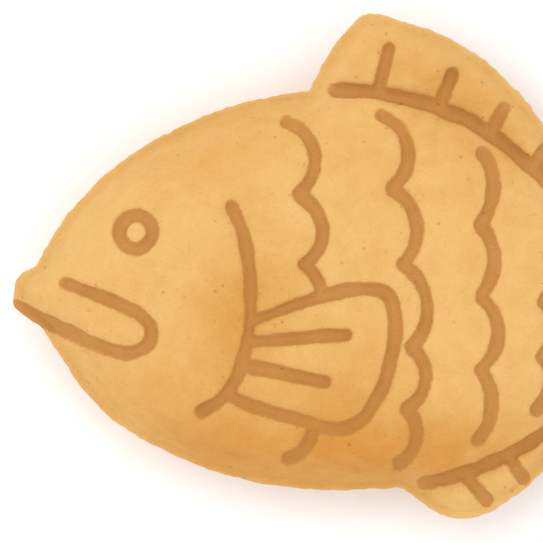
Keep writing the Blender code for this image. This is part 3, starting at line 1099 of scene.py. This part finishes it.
@dataclass(frozen=True)
class Taiyaki:
    """The whole cake as one closed crust.

    Attributes:
        outline: Its edge in plan.
        lines: The lines pressed into both faces.
        relief: The height of each face.
        browning_and_shade: Where it is toasted, and where shade and light are painted.
        finish: Its material.
        blank_radius: Radius of the round plate that is brought to the outline.
        plate_half: Half the thickness of the plate that the faces are raised from.
        mesh_step: Size of the mesh's cells.
        batch: How many points are measured at once.
        farthest: The largest distance to a line that the finish is told.
        crust_fade: Distances from the edge between which the unevenness grows to its full height.
        seam_share: The share of it that the seam keeps.
        layers: The layers of unevenness, in order.
    """

    outline: FishOutline = FishOutline()
    lines: MouldedLines = MouldedLines()
    relief: Relief = Relief()
    browning_and_shade: BrowningAndShade = BrowningAndShade()
    finish: BakedCrust = BakedCrust()
    blank_radius: float = 70.0
    plate_half: float = 0.6
    mesh_step: float = 0.41
    batch: int = 2000
    farthest: float = 9.0
    crust_fade: Span = (0.6, 3.4)
    seam_share: float = 0.25
    layers: tuple[Unevenness, ...] = (
        Unevenness("soft lumps", TextureKind.LUMPS, grain=9.0, height=0.34, level=0.6),
        Unevenness("fine lumps", TextureKind.LUMPS, grain=2.2, height=0.20, level=0.6),
        Unevenness("burst bubbles", TextureKind.BUBBLES, grain=4.6, height=0.16, level=1.0,
                   sharpness=4.5),
    )

    @property
    def centre(self) -> np.ndarray:
        """The point of the fish frame that comes to the origin."""
        contour = self.outline.contour()
        return 0.5 * (contour.min(axis=0) + contour.max(axis=0))

    def cut_plate(self) -> bpy.types.Object:
        """Cut a thin plate to the cake's outline.

        Returns:
            The plate with a fine, even mesh.
        """
        rim = (self.outline.baked_edge() - self.centre) * MM
        radius = self.blank_radius * MM
        bpy.ops.mesh.primitive_circle_add(vertices=len(rim), radius=radius, fill_type="NGON")
        plate = bpy.context.object
        plate.name = plate.data.name = CRUST_NAME
        thickness = 2.0 * self.plate_half * MM
        for vertex, (x, y) in zip(plate.data.vertices, rim):
            vertex.co = (x, y, -0.5 * thickness)
        bpy.ops.object.mode_set(mode="EDIT")
        bpy.ops.mesh.select_all(action="SELECT")
        bpy.ops.mesh.extrude_region_move(TRANSFORM_OT_translate={"value": (0.0, 0.0, thickness)})
        bpy.ops.mesh.select_all(action="SELECT")
        bpy.ops.mesh.normals_make_consistent(inside=False)
        bpy.ops.object.mode_set(mode="OBJECT")
        net = plate.modifiers.new("even net", "REMESH")
        net.mode = "VOXEL"
        net.voxel_size = self.mesh_step * MM
        net.use_smooth_shade = True
        bpy.ops.object.modifier_apply(modifier=net.name)
        return plate

    def measure(self, plan: np.ndarray) -> tuple[np.ndarray, np.ndarray, np.ndarray]:
        """Measure how far places lie from the edge, the body's contour and the grooves.

        Args:
            plan: Places in the fish frame.

        Returns:
            The three distances, the one to the body's contour negative outside it.
        """
        outline = self.outline.contour()
        body = even_steps(self.outline.body.loop(), self.outline.step)
        grooves = self.lines.paths(self.outline)
        found = []
        for start in range(0, len(plan), self.batch):
            part = plan[start:start + self.batch]
            side = np.where(is_inside(part, body), 1.0, -1.0)
            found.append((soft_distance(part, outline), soft_distance(part, body) * side,
                          nearest(part, grooves)))
        edge, within, groove = (np.concatenate(column) for column in zip(*found))
        return edge, within, groove

    def raise_faces(self, cake: bpy.types.Object) -> None:
        """Raise both faces of the plate to the moulded form and mark the mesh for later steps.

        Args:
            cake: The plate.
        """
        mesh = cake.data
        places = np.empty(3 * len(mesh.vertices))
        mesh.vertices.foreach_get("co", places)
        places = places.reshape(-1, 3) / MM
        plan = places[:, :2] + self.centre
        edge, within, groove = self.measure(plan)
        beside = np.maximum(groove - self.lines.half_width, 0.0)
        places[:, 2] *= self.relief.heights(plan, edge, within, beside) / self.plate_half
        mesh.vertices.foreach_set("co", (places * MM).ravel())
        marks = {
            Mark.GROOVE: np.minimum(groove, self.farthest),
            Mark.TOAST: self.browning_and_shade.over(plan),
        }
        for mark, values in marks.items():
            layer = mesh.attributes.new(mark.value, "FLOAT", "POINT")
            layer.data.foreach_set("value", values)
        mesh.update()
        groups = {
            CRUST_GROUP: self.seam_share + (1.0 - self.seam_share) * ease(edge, *self.crust_fade),
            LINE_GROUP: self.lines.pressure(groove, edge),
        }
        for name, shares in groups.items():
            group = cake.vertex_groups.new(name=name)
            for number in np.flatnonzero(shares):
                group.add([int(number)], shares[number], "REPLACE")

    def settle(self, cake: bpy.types.Object) -> None:
        """Press flat whatever would reach below the surface that the cake lies on.

        Args:
            cake: The cake, whose parting plane is still at height 0.
        """
        floor = -self.relief.half_thickness * MM
        for vertex in cake.data.vertices:
            vertex.co.z = max(vertex.co.z, floor)

    def build(self) -> bpy.types.Object:
        """Model, bake and dress the cake in place of its plain solid.

        Returns:
            The finished piece.
        """
        bpy.ops.object.select_all(action="DESELECT")
        cake = self.cut_plate()
        self.raise_faces(cake)
        self.lines.press(cake)
        for layer in self.layers:
            layer.shape(cake)
        self.settle(cake)
        low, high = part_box(CAKE_NODE)
        cake.location = [0.5 * (least + most) for least, most in zip(low, high)]
        bpy.ops.object.transform_apply(location=True, rotation=False, scale=False)
        cake.data.materials.clear()
        cake.data.materials.append(self.finish.make())
        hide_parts(CAKE_NODE)
        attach(cake, "root")
        return cake


@dataclass(frozen=True)
class Studio:
    """A plain pale floor, soft light from above and a camera that looks straight down.

    The view and the camera's parts are in millimetres. The floor's size, the lamp's place and
    size and how far the camera sees are in metres.
    """

    view_centre: Point = (45.33, 3.41)
    view_width: float = 95.03
    view_height: float = 20.0
    lens: float = 1200.0
    sensor: float = 36.0
    sight: float = 10.0
    floor_size: float = 6.0
    floor_colour: Colour = (0.94, 0.94, 0.94)
    floor_roughness: float = 0.85
    floor_gloss: float = 0.1
    sky_colour: Colour = (1.0, 1.0, 1.0)
    sky_strength: float = 1.25
    lamp_place: Place = (-0.40, 0.45, 1.35)
    lamp_size: float = 0.8
    lamp_power: float = 3.0

    def lay_floor(self) -> bpy.types.Object:
        """Lay the floor just under the cake.

        Returns:
            The floor.
        """
        bpy.ops.mesh.primitive_plane_add(size=self.floor_size)
        floor = bpy.context.object
        floor.name = "floor"
        sheet = NodeSheet("pale floor")
        sheet.connect(self.floor_colour, sheet.shader.inputs["Base Color"])
        sheet.connect(self.floor_roughness, sheet.shader.inputs["Roughness"])
        sheet.connect(self.floor_gloss, sheet.shader.inputs["Specular IOR Level"])
        floor.data.materials.append(sheet.material)
        return floor

    def hang_lamp(self) -> bpy.types.Object:
        """Hang a wide soft lamp on the side of the head and the back.

        Returns:
            The lamp.
        """
        bpy.ops.object.light_add(type="AREA", location=self.lamp_place)
        lamp = bpy.context.object
        lamp.name = "soft lamp"
        lamp.data.size = self.lamp_size
        lamp.data.energy = self.lamp_power
        lamp.rotation_euler = Vector(self.lamp_place).to_track_quat("Z", "Y").to_euler()
        lamp.visible_camera = False
        return lamp

    def light_sky(self) -> None:
        """Fill the room with even white light."""
        world = bpy.data.worlds.new("white room")
        world.use_nodes = True
        sky = world.node_tree.nodes["Background"]
        sky.inputs["Color"].default_value = (*self.sky_colour, 1.0)
        sky.inputs["Strength"].default_value = self.sky_strength
        bpy.context.scene.world = world

    def place_camera(self, origin: np.ndarray) -> bpy.types.Object:
        """Put the camera over the cake, far off and with a long lens.

        Args:
            origin: The point of the fish frame that is at the model's origin.

        Returns:
            The camera.
        """
        x, y = (np.array(self.view_centre) - origin) * MM
        distance = self.view_width * self.lens / self.sensor
        bpy.ops.object.camera_add(location=(x, y, (self.view_height + distance) * MM))
        camera = bpy.context.object
        camera.data.lens = self.lens
        camera.data.sensor_width = self.sensor
        camera.data.clip_end = self.sight
        bpy.context.scene.camera = camera
        return camera

    def build(self, origin: np.ndarray) -> None:
        """Set up the whole studio.

        Args:
            origin: The point of the fish frame that is at the model's origin.
        """
        for thing in (self.lay_floor(), self.hang_lamp(), self.place_camera(origin)):
            log.info("%s: in place", thing.name)
        self.light_sky()
        bpy.context.scene.view_settings.view_transform = "Standard"


def main() -> None:
    """Load the frame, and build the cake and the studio."""
    logging.basicConfig(level=logging.INFO, format="%(name)s: %(message)s")
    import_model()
    taiyaki = Taiyaki()
    cake = taiyaki.build()
    log.info("%s: %d faces", cake.name, len(cake.data.polygons))
    Studio().build(taiyaki.centre)


if __name__ == "__main__":
    main()
